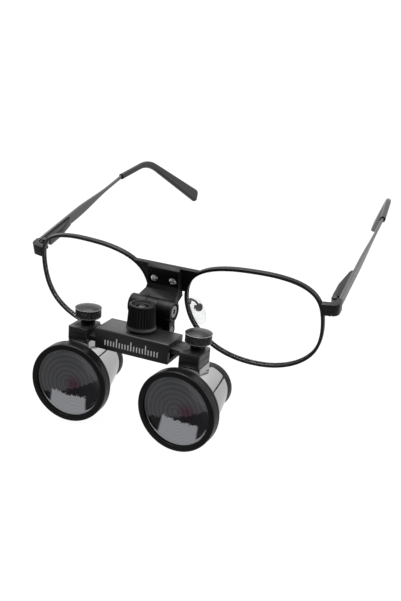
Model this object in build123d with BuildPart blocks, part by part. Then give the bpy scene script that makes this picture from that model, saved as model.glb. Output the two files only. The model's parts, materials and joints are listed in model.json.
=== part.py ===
"""Binocular dental loupes on a metal spectacle frame.

Units are millimetres.  +Z is up, +X is the wearer's left and +Y runs back along the temples.
Sizes are given from a point at the bridge, on the centre plane.  The written pieces are moved
so that the middle of the whole object's footprint is the origin.
The loupes hang in their own tilted frame, the bar frame, centred on the crossbar.
"""
from build123d import *
from math import acos, copysign, cos, pi, radians, sin, sqrt, tan
import os

os.makedirs("parts", exist_ok=True)

FOOTPRINT = Vector(0, 45.9, -41.9)   # middle of the footprint, from the bridge

# ------------------------------------------------------------------ spectacle frame sizes
LENS_OUTLINE = [  # centre line of the rim wire, seen from the front
    (64.1, -8.9), (61.0, 4.9), (48.8, 11.5), (37.0, 12.7), (24.8, 12.1), (11.5, 5.8),
    (8.5, -8.9), (14.7, -21.8), (25.4, -29.1), (37.0, -31.6), (49.4, -30.3), (60.7, -22.4),
]
FACE_RADIUS = 333.0       # face form: the rims lie on an upright cylinder
RIM_Y = -1.9              # where that cylinder crosses the centre plane
RIM_WIRE = 1.3            # rim wire, across its face
RIM_DEPTH = 2.2           # rim wire, front to back
GROOVE_DEPTH = 0.4
GROOVE_WIDTH = 0.8
LENS_THICKNESS = 1.3
LENS_GAP = 0.05           # between lens and rim
BRIDGE_TOP = 9.1
BRIDGE_BOTTOM = -1.2
BRIDGE_THICKNESS = 2.0
END_PIECE_X = 70.0        # outer face of the end piece, half the frame's width
END_PIECE_Z = -0.47
END_PIECE_HEIGHT = 5.0
TEMPLE_HINGE = (66.6, 9.9)
KNUCKLE_RADIUS = 1.25
HINGE_PIN_RADIUS = 0.6
RUNNING_GAP = 0.05        # radial gap of every pin that turns
TEMPLE_Y = 9.55           # front end of the temple
TEMPLE_X = 68.2           # its inner face there
TEMPLE_THICKNESS = 1.2
TEMPLE_TOE_IN = 0.68      # degrees
TEMPLE_HEIGHT = 5.2
TEMPLE_WIRE = 1.9
STRAP_LENGTH = 32.0       # the flat strap narrows from here
WIRE_START = 62.0         # to a wire here
TEMPLE_LENGTH = 80.0      # the wire ends inside the ear tip
TIP_START = (67.9, 84.5, -0.47)
TIP_BEND = (65.3, 109.1, -2.3)
TIP_END = (52.8, 142.8, -36.3)
TIP_THICKNESS = 2.6
TIP_NECK = 2.9
TIP_PADDLE = 7.4
PAD_CENTRE = Vector(9.0, 5.6, -15.2)
PAD_LENGTH_DIR = Vector(0.38, 0.10, -0.92).normalized()
PAD_FACE_DIR = Vector(-0.86, 0.40, -0.3117).normalized()
PAD_SIZE = (14.0, 7.6, 2.6)

# ------------------------------------------------------------------ flip-up hinge sizes
UPPER_AXIS = (-15.7, -2.75)     # Y and Z of the flip-up axis
UPPER_RADIUS = 4.1
UPPER_HALF_WIDTH = 9.4
UPPER_PIN = 1.5
TONGUE_HALF_WIDTH = 2.5
LOWER_PIN = 1.0
LOWER_RADIUS = 2.7
LUG_HALF_WIDTH = 5.4
LINK_HALF_WIDTH = 8.6
BRACKET_SCREWS = [(side * 4.06, 4.0) for side in (-1, 1)]     # X and Z
BRACKET_SCREW_RADIUS = 0.9

# ------------------------------------------------------------------ loupe sizes, bar frame
BAR_CENTRE = (-29.45, -10.16)   # Y and Z of the crossbar's centre
BAR_TILT = 15.24                # degrees, the barrels look up by this much at rest
BAR_LENGTH = 31.4
BAR_DEPTH = 13.0
BAR_TOP = 4.4                   # top and bottom faces, from its centre
BAR_BOTTOM = -3.8
CHANNEL_HALF = 4.85             # half width of the channel the slide arms run in
CHANNEL_TOP = 2.25              # and half its height
LOWER_AXIS = (11.8, 2.6)        # Y and Z of the tilt axis, bar frame
KNOB_Y = 1.5                    # the adjusting knob's axis
GEAR_MODULE = 0.4
GEAR_TEETH = 10
PRESSURE_ANGLE = radians(25)
ADDENDUM = 0.34
DEDENDUM = 0.46
BACKLASH = 0.03                 # taken off each flank
TRAVEL_IN = 2.0                 # each barrel slides in and out by this much
TRAVEL_OUT = 8.0
CLAMP_X = 24.1                  # swivel axis of a barrel at rest
CLAMP_Y = 2.2
CLAMP_WIDTH = 8.6
CLAMP_FRONT = -6.1
CLAMP_BACK = 5.1
CLAMP_TOP = 2.2
CLAMP_BOTTOM = -3.05
SADDLE_SIZE = (9.4, 9.8)        # X and Y
SADDLE_Y = -0.4
ARM_SPLIT = 0.35                # the slide arms clear the middle plane by this much
THUMB_SHANK = 1.5
BARREL_DROP = -18.71            # barrel axis below the crossbar's centre
BARREL_FRONT = -13.68           # front face of the bezel
CONVERGENCE = 3.0               # degrees, each barrel
BARREL_LENGTH = 31.0
BEZEL_RADIUS = 16.15
BEZEL_LENGTH = 5.2
BEZEL_BORE = 13.8               # clear aperture
LENS_FRONT = 1.6                # the objective's rim sits between here
LENS_BACK = 5.2                 # and here, behind the bezel's front face
LENS_SEAT = 14.0
SHELL_SPIGOT = 14.8             # the shell's front end, inside the bezel
SHELL_FRONT = 14.7
SHELL_BACK = 9.5
EYEPIECE_RADIUS = 9.6


# ------------------------------------------------------------------ shared helpers
def save(piece, label):
    """Label a finished piece, move it to the footprint's frame and write its own file."""
    with BuildPart() as placed:
        with Locations(Location(-FOOTPRINT)):
            add(piece.part)
    placed.part.label = label
    export_step(placed.part, f"parts/{label}.step")


def mirrored(piece):
    """The mirror image of a left piece, for the right side."""
    with BuildPart() as twin:
        mirror(piece.part, about=Plane.YZ)
    return twin


def save_pair(piece, stem):
    """Write a left piece, and its mirror image as the right one."""
    save(piece, f"{stem}_left")
    save(mirrored(piece), f"{stem}_right")


def turned(plane, outline):
    """A turned piece: outline holds (distance along plane.x_dir, radius) points."""
    with BuildPart() as piece:
        with BuildSketch(plane):
            with BuildLine():
                Polyline(*outline, close=True)
            make_face()
        revolve(axis=Axis(plane.origin, plane.x_dir))
    return piece


def face_form(thickness):
    """An upright bent slab that gives the rims and lenses their face form."""
    centre = (0, RIM_Y + FACE_RADIUS)
    with BuildPart() as slab:
        with BuildSketch(Plane.XY.offset(-45)):
            with BuildLine():
                front = CenterArc(centre, FACE_RADIUS + thickness / 2, 257, 26)
                back = CenterArc(centre, FACE_RADIUS - thickness / 2, 257, 26)
                Line(front @ 0, back @ 0)
                Line(front @ 1, back @ 1)
            make_face()
        extrude(amount=70)
    return slab.part


FRONT_VIEW = Plane.XZ.offset(12)     # outlines seen from the front are drawn here
THROUGH = -30                        # and cut or pushed back this far, through the whole front
UPRIGHT = [Vector(0, 1), Vector(0, 1)]   # the outline starts and ends upright, at its outer side
RIM_LINE = Edge.make_spline(
    [Vector(x, z) for x, z in LENS_OUTLINE + LENS_OUTLINE[:1]], tangents=UPRIGHT, scale=False
)


def lens_shape(margin):
    """The area inside the rim's centre line, grown or shrunk by a margin."""
    points = []
    for step in range(24):
        along = RIM_LINE % (step / 24)
        outward = Vector(along.Y, -along.X)
        points.append(RIM_LINE @ (step / 24) + outward * margin)
    with BuildSketch() as shape:
        with BuildLine():
            Spline(*points, points[0], tangents=UPRIGHT, tangent_scalars=[1.0, 1.0])
        make_face()
    return shape.sketch


def dome(apex, rim, radius):
    """A spherical lens surface, as an arc from the axis at apex out to rim and radius."""
    sag = rim - apex
    sphere = (radius ** 2 + sag ** 2) / (2 * sag)
    half = radius / 2
    middle = apex + half ** 2 / (sphere + copysign(sqrt(sphere ** 2 - half ** 2), sphere))
    return ThreePointArc((apex, 0), (middle, half), (rim, radius))


# the bar frame, and planes that lie in it
BAR = Plane(
    origin=(0, *BAR_CENTRE),
    x_dir=(1, 0, 0),
    z_dir=(0, sin(radians(BAR_TILT)), cos(radians(BAR_TILT))),
)


def bar_point(x, y, z):
    """A point given in the bar frame, in the object's frame."""
    return BAR.from_local_coords(Vector(x, y, z))


def bar_level(z):
    """A level plane of the bar frame, for outlines seen from above."""
    return BAR.offset(z)


def bar_side(x):
    """A side-on plane of the bar frame: its axes are back and up."""
    return Plane(origin=bar_point(x, 0, 0), x_dir=BAR.y_dir, z_dir=BAR.x_dir)


def bar_upright(x, y, z):
    """A plane for turned pieces that stand upright in the bar frame."""
    return Plane(origin=bar_point(x, y, z), x_dir=BAR.z_dir, z_dir=-BAR.y_dir)


def cross_axis(x, y, z):
    """A plane for turned pieces that lie along X."""
    return Plane(origin=(x, y, z), x_dir=(1, 0, 0), z_dir=(0, -1, 0))


# the left barrel's axis runs back from the centre of its bezel
YAW = radians(CONVERGENCE)
BARREL_X = CLAMP_X - (CLAMP_Y - BARREL_FRONT) * tan(YAW)
BARREL_AXIS = (bar_point(sin(YAW), cos(YAW), 0) - bar_point(0, 0, 0)).normalized()
BARREL_ORIGIN = bar_point(BARREL_X, BARREL_FRONT, BARREL_DROP)
BARREL = Plane(
    origin=BARREL_ORIGIN,
    x_dir=BARREL_AXIS,
    z_dir=BARREL_AXIS.cross(BAR.z_dir),
)


# ------------------------------------------------------------------ front of the frame
with BuildPart() as rim:
    with BuildSketch(FRONT_VIEW):
        add(lens_shape(RIM_WIRE / 2))
        add(lens_shape(-RIM_WIRE / 2), mode=Mode.SUBTRACT)
    extrude(amount=THROUGH)
    add(face_form(RIM_DEPTH), mode=Mode.INTERSECT)
with BuildPart() as groove:
    with BuildSketch(FRONT_VIEW):
        add(lens_shape(-RIM_WIRE / 2 + GROOVE_DEPTH))
    extrude(amount=THROUGH)
    add(face_form(GROOVE_WIDTH), mode=Mode.INTERSECT)
with BuildPart() as rim_left:
    add(rim.part)
    add(groove.part, mode=Mode.SUBTRACT)
    with BuildSketch(FRONT_VIEW):
        with Locations((64, END_PIECE_Z - 0.3)):
            Rectangle(5, 0.25)
    extrude(amount=THROUGH, mode=Mode.SUBTRACT)
save_pair(rim_left, "rim")

with BuildPart() as lens_edge:
    with BuildSketch(FRONT_VIEW):
        add(lens_shape(-RIM_WIRE / 2 + GROOVE_DEPTH - LENS_GAP))
    extrude(amount=THROUGH)
    add(face_form(GROOVE_WIDTH - 2 * LENS_GAP), mode=Mode.INTERSECT)
with BuildPart() as spectacle_lens:
    with BuildSketch(FRONT_VIEW):
        add(lens_shape(-RIM_WIRE / 2 - LENS_GAP))
    extrude(amount=THROUGH)
    add(face_form(LENS_THICKNESS), mode=Mode.INTERSECT)
    add(lens_edge.part)
save_pair(spectacle_lens, "spectacle_lens")

with BuildPart() as bridge_plate:
    with BuildSketch(Plane.XZ.offset(-RIM_Y + BRIDGE_THICKNESS / 2)):
        with Locations((0, (BRIDGE_TOP + BRIDGE_BOTTOM) / 2)):
            Rectangle(32, BRIDGE_TOP - BRIDGE_BOTTOM)
        add(lens_shape(RIM_WIRE / 2), mode=Mode.SUBTRACT)
        mirror(lens_shape(RIM_WIRE / 2), about=Plane.YZ, mode=Mode.SUBTRACT)
        with Locations(*BRACKET_SCREWS):
            Circle(0.9, mode=Mode.SUBTRACT)
    extrude(amount=-BRIDGE_THICKNESS)
save(bridge_plate, "bridge_plate")

# end piece: from the rim out to the corner and back to the temple, with two hinge knuckles
LOCK_SCREW = (66.35, 4.9)
with BuildPart() as end_piece:
    with BuildSketch(Plane.XY.offset(END_PIECE_Z - END_PIECE_HEIGHT / 2)):
        with BuildLine():
            Line((62.6, 2.8), (67.4, 3.75))
            RadiusArc((67.4, 3.75), (END_PIECE_X, 6.4), -2.9)
            Polyline((END_PIECE_X, 6.4), (END_PIECE_X, 9.45), (67.9, 9.45), (67.9, 7.4))
            Polyline((67.9, 7.4), (66.9, 6.1), (62.6, 5.2), (62.6, 2.8))
        make_face()
    extrude(amount=END_PIECE_HEIGHT)
    with BuildSketch(FRONT_VIEW):
        add(lens_shape(RIM_WIRE / 2))
    extrude(amount=THROUGH, mode=Mode.SUBTRACT)
    with BuildSketch(Plane.XY.offset(END_PIECE_Z - 2.15)):
        with Locations(TEMPLE_HINGE):
            Circle(KNUCKLE_RADIUS)
        with BuildLine():
            Polyline((65.5, 9.3), (67.0, 6.9), (68.4, 6.9), (68.4, 9.4), (66.6, 9.9), close=True)
        make_face()
    extrude(amount=4.3)
    with BuildSketch(Plane.XY.offset(END_PIECE_Z - 0.8)):
        with Locations(TEMPLE_HINGE):
            Circle(KNUCKLE_RADIUS + 0.15)
            with Locations((-0.2, 1.0)):
                Rectangle(2.6, 2.0)
    extrude(amount=1.6, mode=Mode.SUBTRACT)
    with BuildSketch(Plane.XY.offset(-10)):
        with Locations(TEMPLE_HINGE):
            Circle(HINGE_PIN_RADIUS)
    extrude(amount=20, mode=Mode.SUBTRACT)
    # the lower front part is the rim lock, a piece of its own
    with BuildSketch(Plane.XY.offset(END_PIECE_Z - END_PIECE_HEIGHT / 2)):
        with Locations((64.95, 4.05)):
            Rectangle(5.1, 5.1)
    extrude(amount=END_PIECE_HEIGHT / 2 - 0.2, mode=Mode.SUBTRACT)
    with BuildSketch(Plane.XY.offset(-4)):
        with Locations(LOCK_SCREW):
            Circle(0.5)
    extrude(amount=5, mode=Mode.SUBTRACT)
save_pair(end_piece, "end_piece")

with BuildPart() as rim_lock:
    with BuildSketch(Plane.XY.offset(END_PIECE_Z - END_PIECE_HEIGHT / 2)):
        with BuildLine():
            Polyline((62.6, 2.8), (67.35, 3.74), (67.35, 6.3), (62.6, 5.2), close=True)
        make_face()
        with Locations(LOCK_SCREW):
            Circle(0.55, mode=Mode.SUBTRACT)
    extrude(amount=END_PIECE_HEIGHT / 2 - 0.3)
    with BuildSketch(FRONT_VIEW):
        add(lens_shape(RIM_WIRE / 2))
    extrude(amount=THROUGH, mode=Mode.SUBTRACT)
save_pair(rim_lock, "rim_lock")

with BuildPart() as lock_screws:
    with BuildSketch(Plane.XY.offset(END_PIECE_Z - END_PIECE_HEIGHT / 2 - 0.5)):
        with Locations(LOCK_SCREW, (-LOCK_SCREW[0], LOCK_SCREW[1])):
            Circle(0.8)
    extrude(amount=0.5)
    with BuildSketch(Plane.XY.offset(END_PIECE_Z - END_PIECE_HEIGHT / 2)):
        with Locations(LOCK_SCREW, (-LOCK_SCREW[0], LOCK_SCREW[1])):
            Circle(0.5)
    extrude(amount=3.2)
save(lock_screws, "rim_lock_screws")

with BuildPart() as hinge_screws:
    with BuildSketch(Plane.XY.offset(END_PIECE_Z - 2.3)):
        with Locations(TEMPLE_HINGE, (-TEMPLE_HINGE[0], TEMPLE_HINGE[1])):
            Circle(HINGE_PIN_RADIUS)
    extrude(amount=4.5)
    with BuildSketch(Plane.XY.offset(END_PIECE_Z + 2.15)):
        with Locations(TEMPLE_HINGE, (-TEMPLE_HINGE[0], TEMPLE_HINGE[1])):
            Circle(1.0)
            Rectangle(2.2, 0.3, mode=Mode.SUBTRACT)
    extrude(amount=0.5)
save(hinge_screws, "hinge_screws")


# ------------------------------------------------------------------ temples
def temple_plane():
    """The left temple's side plane: its axes are back along the temple and up."""
    toe_in = radians(TEMPLE_TOE_IN)
    return Plane(
        origin=(TEMPLE_X, TEMPLE_Y, END_PIECE_Z),
        x_dir=(-sin(toe_in), cos(toe_in), 0),
        z_dir=(cos(toe_in), sin(toe_in), 0),
    )


with BuildPart() as temple:
    with BuildSketch(temple_plane()):
        with BuildLine():
            half = TEMPLE_HEIGHT / 2
            wire = TEMPLE_WIRE / 2
            top_front = Line((0, half), (STRAP_LENGTH, half - 0.1))
            top_taper = Spline(
                top_front @ 1, (WIRE_START, wire), tangents=[(1, -0.02), (1, -0.02)]
            )
            Line(top_taper @ 1, (TEMPLE_LENGTH, wire))
            Line((TEMPLE_LENGTH, wire), (TEMPLE_LENGTH, -wire))
            bottom_front = Line((0, -half), (STRAP_LENGTH, -half + 0.1))
            bottom_taper = Spline(
                bottom_front @ 1, (WIRE_START, -wire), tangents=[(1, 0.02), (1, 0.02)]
            )
            Line(bottom_taper @ 1, (TEMPLE_LENGTH, -wire))
            Line((0, half), (0, -half))
        make_face()
    extrude(amount=TEMPLE_THICKNESS)
save_pair(temple, "temple")

# the spring box sits against the inside of the temple, narrowing to a blunt rear end
BOX_FRONT = 12.4
BOX_BACK = 33.2
with BuildPart() as spring_box:
    with BuildSketch(Plane.XY.offset(END_PIECE_Z - 1.75)):
        with BuildLine():
            Polyline(
                (65.1, BOX_FRONT), (65.1, 21.0), (66.6, 31.6), (67.2, BOX_BACK),
                (TEMPLE_X + 0.8, BOX_BACK), (TEMPLE_X + 0.8, BOX_FRONT), close=True,
            )
        make_face()
    extrude(amount=3.5)
    add(temple.part, mode=Mode.SUBTRACT)
    with BuildSketch(Plane.XZ.offset(-BOX_FRONT)):
        with Locations((TEMPLE_HINGE[0], END_PIECE_Z)):
            Circle(0.5 + RUNNING_GAP)
    extrude(amount=-1.2, mode=Mode.SUBTRACT)
    with BuildSketch(Plane.XZ.offset(-BOX_FRONT - 1.0)):
        with Locations((TEMPLE_HINGE[0], END_PIECE_Z)):
            Circle(1.05)
    extrude(amount=-8.5, mode=Mode.SUBTRACT)
    with BuildSketch(Plane.XY.offset(-10)):
        with Locations((TEMPLE_X + 0.8, 20)):
            Rectangle(1.6, 40)
    extrude(amount=20, mode=Mode.SUBTRACT)
save_pair(spring_box, "spring_box")

with BuildPart() as spring_tongue:
    with BuildSketch(Plane.XY.offset(END_PIECE_Z - 0.75)):
        with Locations(TEMPLE_HINGE):
            Circle(KNUCKLE_RADIUS)
            with Locations((0, 1.3)):
                Rectangle(1.6, 1.8)
            Circle(HINGE_PIN_RADIUS + RUNNING_GAP, mode=Mode.SUBTRACT)
    extrude(amount=1.5)
    with BuildSketch(Plane.XZ.offset(-12.0)):
        with Locations((TEMPLE_HINGE[0], END_PIECE_Z)):
            Circle(0.5)
    extrude(amount=-7.5)
    with BuildSketch(Plane.XZ.offset(-19.4)):
        with Locations((TEMPLE_HINGE[0], END_PIECE_Z)):
            Circle(0.95)
    extrude(amount=-0.8)
save_pair(spring_tongue, "spring_tongue")

with BuildPart() as hinge_spring:
    with BuildLine():
        coil = Helix(pitch=0.62, height=4.0, radius=0.78,
                     center=(TEMPLE_HINGE[0], 13.7, END_PIECE_Z), direction=(0, 1, 0))
    with BuildSketch(Plane(origin=coil @ 0, z_dir=coil % 0)):
        Circle(0.15)
    sweep(path=coil)
save_pair(hinge_spring, "hinge_spring")

# ear tip: a sleeve that bends down behind the ear and widens to a paddle
tip_front_dir = (Vector(TIP_BEND) - Vector(TIP_START)).normalized()
tip_leg_dir = (Vector(TIP_END) - Vector(TIP_BEND)).normalized()
tip_normal = tip_front_dir.cross(tip_leg_dir).normalized()
TIP = Plane(origin=TIP_START, x_dir=tip_front_dir, z_dir=tip_normal)
bend_at = (Vector(TIP_BEND) - Vector(TIP_START)).length
leg_length = (Vector(TIP_END) - Vector(TIP_BEND)).length
leg_angle = acos(tip_front_dir.dot(tip_leg_dir))


def along_leg(distance, side):
    """A point beside the ear tip's lower leg, in the ear tip's plane."""
    return (
        bend_at + distance * cos(leg_angle) - side * sin(leg_angle),
        distance * sin(leg_angle) + side * cos(leg_angle),
    )


with BuildPart() as ear_tip:
    with BuildSketch(TIP.offset(-TIP_THICKNESS / 2)) as tip_outline:
        neck = TIP_NECK / 2
        paddle = TIP_PADDLE / 2
        with BuildLine():
            Polyline(
                (0, neck), (bend_at - 0.6, neck), along_leg(leg_length, paddle),
                along_leg(leg_length, -paddle), (bend_at + 1.0, -neck), (0, -neck),
                close=True,
            )
        make_face()
        fillet(tip_outline.vertices().sort_by(Axis.X)[2:4], 20)
        fillet(tip_outline.vertices().sort_by(Axis.X)[-2:], 2.2)
    extrude(amount=TIP_THICKNESS)
    fillet(ear_tip.edges().filter_by(lambda edge: edge.length > 4), 1.05)
    add(temple.part, mode=Mode.SUBTRACT)
save_pair(ear_tip, "ear_tip")

# ------------------------------------------------------------------ nose pads
pad_width_dir = PAD_FACE_DIR.cross(PAD_LENGTH_DIR)
pad_post = PAD_CENTRE - PAD_LENGTH_DIR * 1.8
PAD = Plane(origin=PAD_CENTRE, x_dir=PAD_LENGTH_DIR, z_dir=PAD_FACE_DIR)
BOX_DEPTH = 1.6
box_base = pad_post - PAD_FACE_DIR * (PAD_SIZE[2] / 2 + BOX_DEPTH + 0.35)
PAD_BOX = Plane(origin=box_base, x_dir=PAD_LENGTH_DIR, z_dir=PAD_FACE_DIR)

with BuildPart() as nose_pad:
    with BuildSketch(PAD.offset(-PAD_SIZE[2] / 2)):
        Ellipse(PAD_SIZE[0] / 2, PAD_SIZE[1] / 2)
    extrude(amount=PAD_SIZE[2])
    fillet(nose_pad.edges(), 1.1)
    with BuildSketch(PAD.offset(-PAD_SIZE[2] / 2 - BOX_DEPTH + 0.25)):
        with Locations((-1.8, 0)):
            Rectangle(1.3, 0.9)
    extrude(amount=BOX_DEPTH)
    with BuildSketch(Plane(origin=PAD_BOX.origin + PAD_FACE_DIR * 1.0 - pad_width_dir * 2,
                           z_dir=pad_width_dir)):
        Circle(0.4 + RUNNING_GAP)
    extrude(amount=4, mode=Mode.SUBTRACT)
save_pair(nose_pad, "nose_pad")

with BuildPart() as pad_screws:
    with BuildSketch(Plane(origin=PAD_BOX.origin + PAD_FACE_DIR * 1.0 - pad_width_dir * 1.8,
                           z_dir=pad_width_dir)):
        Circle(0.4)
    extrude(amount=3.6)
    mirror(about=Plane.YZ)
save(pad_screws, "pad_screws")

with BuildPart() as pad_arm:
    with BuildLine():
        arm_path = Spline(
            (8.75, -0.6, -8.4), (7.9, 2.2, -7.9), (8.9, 4.0, -9.6), box_base + (0, 0, 0.4),
            tangents=[(0, 1, 0.1), (0.5, 0.2, -1)],
        )
    with BuildSketch(Plane(origin=arm_path @ 0, z_dir=arm_path % 0)):
        Circle(0.45)
    sweep(path=arm_path)
    with BuildSketch(PAD_BOX):
        Circle(1.7)
    extrude(amount=BOX_DEPTH)
    with BuildSketch(PAD_BOX.offset(0.45)):
        Rectangle(5, 1.2)
    extrude(amount=BOX_DEPTH, mode=Mode.SUBTRACT)
    add(pad_screws.part, mode=Mode.SUBTRACT)
    add(rim.part, mode=Mode.SUBTRACT)
save_pair(pad_arm, "pad_arm")

# ------------------------------------------------------------------ mount bracket
BRACKET_BACK = RIM_Y - BRIDGE_THICKNESS / 2
BRACKET_HALF = 7.0               # half the front plate's width
COUNTERBORE_FLOOR = -4.8
with BuildPart() as mount_bracket:
    with BuildSketch(Plane.YZ.offset(-UPPER_HALF_WIDTH)):
        with BuildLine():
            Polyline(
                (BRACKET_BACK, -3.4), (BRACKET_BACK, 9.7), (-3.9, 9.7), (-5.2, 9.0),
                (-6.2, 2.0), (-7.6, 0.4), (-12.3, -0.3), (-14.3, 0.9), UPPER_AXIS,
                (-13.0, -5.8), (-6.0, -3.8), close=True,
            )
        make_face()
        with Locations(UPPER_AXIS):
            Circle(UPPER_RADIUS)
    extrude(amount=2 * UPPER_HALF_WIDTH)
    with BuildSketch(Plane.XY.offset(-12)):
        with BuildLine():
            Polyline(
                (-BRACKET_HALF, -2), (-BRACKET_HALF, -6.8), (-8.2, -13), (-8.2, -21),
                (8.2, -21), (8.2, -13), (BRACKET_HALF, -6.8), (BRACKET_HALF, -2), close=True,
            )
        make_face()
    extrude(amount=24, mode=Mode.INTERSECT)
    # the hinge barrel is wider than the neck behind it
    with BuildSketch(Plane.YZ.offset(-UPPER_HALF_WIDTH)):
        with Locations(UPPER_AXIS):
            Circle(UPPER_RADIUS)
    extrude(amount=2 * UPPER_HALF_WIDTH)
    # slot for the link arm's tongue
    with BuildSketch(Plane.YZ.offset(-TONGUE_HALF_WIDTH - 0.1)):
        with Locations(UPPER_AXIS):
            Circle(UPPER_RADIUS + 0.15)
            with Locations((-3, -3)):
                Rectangle(6, 14)
    extrude(amount=2 * TONGUE_HALF_WIDTH + 0.2, mode=Mode.SUBTRACT)
    # pin bore and the recesses for its head and nut
    with BuildSketch(Plane.YZ.offset(-UPPER_HALF_WIDTH)):
        with Locations(UPPER_AXIS):
            Circle(UPPER_PIN)
    extrude(amount=2 * UPPER_HALF_WIDTH, mode=Mode.SUBTRACT)
    for side in (-1, 1):
        with BuildSketch(Plane.YZ.offset(side * UPPER_HALF_WIDTH)):
            with Locations(UPPER_AXIS):
                Circle(3.1)
        extrude(amount=-side * 1.1, mode=Mode.SUBTRACT)
    # screw holes with counterbores
    with BuildSketch(Plane.XZ.offset(-BRACKET_BACK - 1)):
        with Locations(*BRACKET_SCREWS):
            Circle(0.9)
    extrude(amount=8, mode=Mode.SUBTRACT)
    with BuildSketch(Plane.XZ.offset(-COUNTERBORE_FLOOR)):
        with Locations(*BRACKET_SCREWS):
            Circle(2.1)
    extrude(amount=6, mode=Mode.SUBTRACT)
save(mount_bracket, "mount_bracket")

with BuildPart() as bracket_screws:
    with BuildSketch(Plane.XZ.offset(-RIM_Y - BRIDGE_THICKNESS / 2)):
        with Locations(*BRACKET_SCREWS):
            Circle(0.9)
    extrude(amount=RIM_Y + BRIDGE_THICKNESS / 2 - COUNTERBORE_FLOOR)
    with BuildSketch(Plane.XZ.offset(-COUNTERBORE_FLOOR)):
        with Locations(*BRACKET_SCREWS):
            Circle(1.6)
    extrude(amount=1.2)
    fillet(bracket_screws.faces().sort_by(Axis.Y)[:2].edges(), 0.35)
    with BuildSketch(Plane.XZ.offset(-COUNTERBORE_FLOOR + 0.5)):
        with Locations(*BRACKET_SCREWS):
            Rectangle(1.9, 0.4, rotation=30)
            Rectangle(1.9, 0.4, rotation=120)
    extrude(amount=1, mode=Mode.SUBTRACT)
save(bracket_screws, "bracket_screws")

upper_screw = turned(
    cross_axis(-UPPER_HALF_WIDTH + 0.1, *UPPER_AXIS),
    [(0, 0), (2 * UPPER_HALF_WIDTH - 0.3, 0), (2 * UPPER_HALF_WIDTH - 0.3, 2.4),
     (2 * UPPER_HALF_WIDTH - 1.2, 2.4), (2 * UPPER_HALF_WIDTH - 1.2, UPPER_PIN), (0, UPPER_PIN)],
)
with BuildPart() as upper_hinge_screw:
    add(upper_screw.part)
    with BuildSketch(Plane.YZ.offset(UPPER_HALF_WIDTH - 0.6)):
        with Locations(UPPER_AXIS):
            RegularPolygon(1.2, 6)
    extrude(amount=1, mode=Mode.SUBTRACT)
save(upper_hinge_screw, "upper_hinge_screw")

with BuildPart() as upper_hinge_nut:
    with BuildSketch(Plane.YZ.offset(-UPPER_HALF_WIDTH + 0.2)):
        with Locations(UPPER_AXIS):
            RegularPolygon(2.7, 6)
            Circle(UPPER_PIN, mode=Mode.SUBTRACT)
    extrude(amount=0.9)
save(upper_hinge_nut, "upper_hinge_nut")

# ------------------------------------------------------------------ link arm
lower_point = bar_point(0, *LOWER_AXIS)
LOWER_YZ = (lower_point.Y, lower_point.Z)
with BuildPart() as link_arm:
    with BuildSketch(Plane.YZ.offset(-LINK_HALF_WIDTH)):
        with Locations(LOWER_YZ):
            Circle(LOWER_RADIUS)
        with BuildLine():
            Polyline(
                (-19.6, -11.0), (-19.2, -6.2), (-17.0, -5.6), (-14.4, -6.0), (-14.3, -8.2),
                (-15.4, -12.0), close=True,
            )
        make_face()
    extrude(amount=2 * LINK_HALF_WIDTH)
    # clear of the bracket's ears
    with BuildSketch(Plane.YZ.offset(-LINK_HALF_WIDTH)):
        with Locations(UPPER_AXIS):
            Circle(UPPER_RADIUS + 0.2)
    extrude(amount=2 * LINK_HALF_WIDTH, mode=Mode.SUBTRACT)
    # tongue between the ears
    with BuildSketch(Plane.YZ.offset(-TONGUE_HALF_WIDTH)):
        with Locations(UPPER_AXIS):
            Circle(UPPER_RADIUS - 0.2)
        with BuildLine():
            Polyline((-18.6, -3.5), (-18.6, -7.2), (-14.6, -7.6), (-13.0, -4.5), close=True)
        make_face()
    extrude(amount=2 * TONGUE_HALF_WIDTH)
    # clear of the crossbar's lug, and open below it
    with BuildSketch(Plane.YZ.offset(-LUG_HALF_WIDTH - 0.1)):
        with Locations(LOWER_YZ):
            Circle(2.75)
            Polygon((-0.3, 2.72), (-5.2, 1.95), (-5.2, -5.2), (3.9, -5.2), (3.9, 0), (0, 0),
                    align=None)
    extrude(amount=2 * LUG_HALF_WIDTH + 0.2, mode=Mode.SUBTRACT)
    with BuildSketch(Plane.YZ.offset(-LINK_HALF_WIDTH)):
        with Locations(UPPER_AXIS):
            Circle(UPPER_PIN + RUNNING_GAP)
        with Locations(LOWER_YZ):
            Circle(LOWER_PIN)
    extrude(amount=2 * LINK_HALF_WIDTH, mode=Mode.SUBTRACT)
    for side in (-1, 1):
        with BuildSketch(Plane.YZ.offset(side * LINK_HALF_WIDTH)):
            with Locations(LOWER_YZ):
                Circle(2.0)
        extrude(amount=-side * 0.8, mode=Mode.SUBTRACT)
save(link_arm, "link_arm")

lower_screw = turned(
    cross_axis(-LINK_HALF_WIDTH + 0.1, *LOWER_YZ),
    [(0, 0), (2 * LINK_HALF_WIDTH - 0.2, 0), (2 * LINK_HALF_WIDTH - 0.2, 1.7),
     (2 * LINK_HALF_WIDTH - 0.9, 1.7), (2 * LINK_HALF_WIDTH - 0.9, LOWER_PIN),
     (0.7, LOWER_PIN), (0.7, 1.5), (0, 1.5)],
)
with BuildPart() as lower_hinge_screw:
    add(lower_screw.part)
    with BuildSketch(Plane.YZ.offset(LINK_HALF_WIDTH - 0.5)):
        with Locations(LOWER_YZ):
            Rectangle(4, 0.45, rotation=20)
    extrude(amount=1, mode=Mode.SUBTRACT)
save(lower_hinge_screw, "lower_hinge_screw")

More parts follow.
